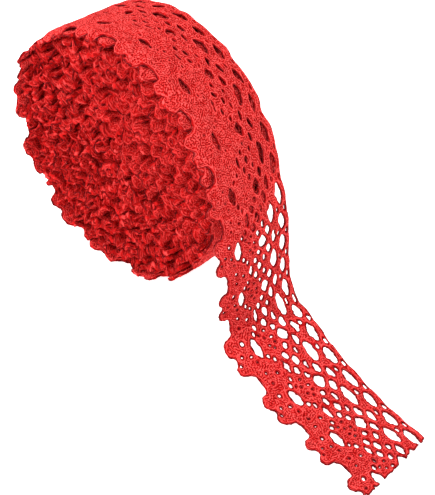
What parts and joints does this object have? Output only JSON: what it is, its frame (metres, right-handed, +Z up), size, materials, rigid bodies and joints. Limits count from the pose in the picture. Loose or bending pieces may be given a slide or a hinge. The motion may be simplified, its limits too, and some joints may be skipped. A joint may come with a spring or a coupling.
{
  "type": "roll of crochet lace trim",
  "caption": "Loosely wound roll of scalloped crochet lace that stands on its rim, with its loose end lying out over the floor.",
  "frame": {"origin": "middle of the flat spot that the roll stands on, on the floor under the roll's axis", "axes": "+Z up, the roll's axis along Y with the scalloped edge towards -Y, the loose end runs out towards +X"},
  "size_m": [0.2879, 0.0728, 0.1501],
  "materials": {
    "wound_lace": "matt fuzzy red cotton yarn, crocheted",
    "loose_lace": "matt fuzzy red cotton yarn, crocheted"
  },
  "bodies": {
    "root": {"lace_roll": "wound_lace", "loose_end": "loose_lace"}
  },
  "joints": []
}
